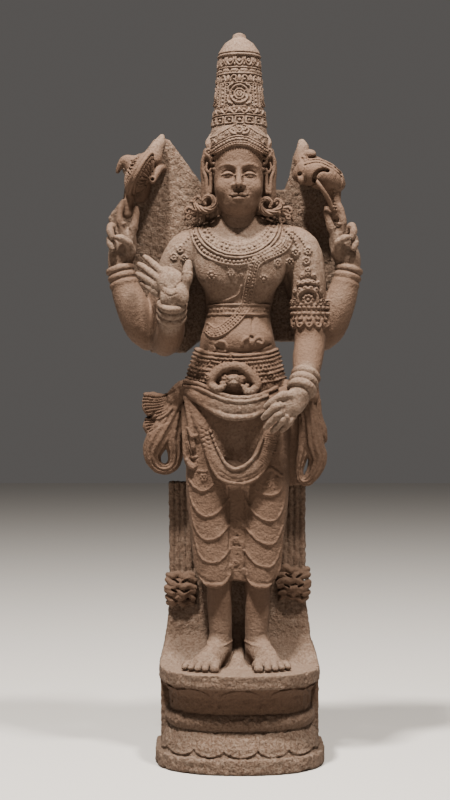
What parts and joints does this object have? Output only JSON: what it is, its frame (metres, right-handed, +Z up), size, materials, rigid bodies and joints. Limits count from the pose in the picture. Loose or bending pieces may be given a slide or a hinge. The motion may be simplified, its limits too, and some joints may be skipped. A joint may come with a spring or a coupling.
{
  "type": "standing granite vishnu figure",
  "caption": "Carved granite standing Vishnu with raised discus and conch, a tall tiered crown, a broken back slab and a bowed lotus pedestal, all one block.",
  "frame": {"origin": "middle of the flat underside across, in line with the front face of the back slab", "axes": "+Z up through the crown, the figure faces -Y, and +X is its left side, where it holds the conch"},
  "size_m": [0.5427, 0.261, 1.5304],
  "materials": {
    "granite": "matte"
  },
  "bodies": {
    "root": {"vishnu_figure": "granite"}
  },
  "joints": []
}
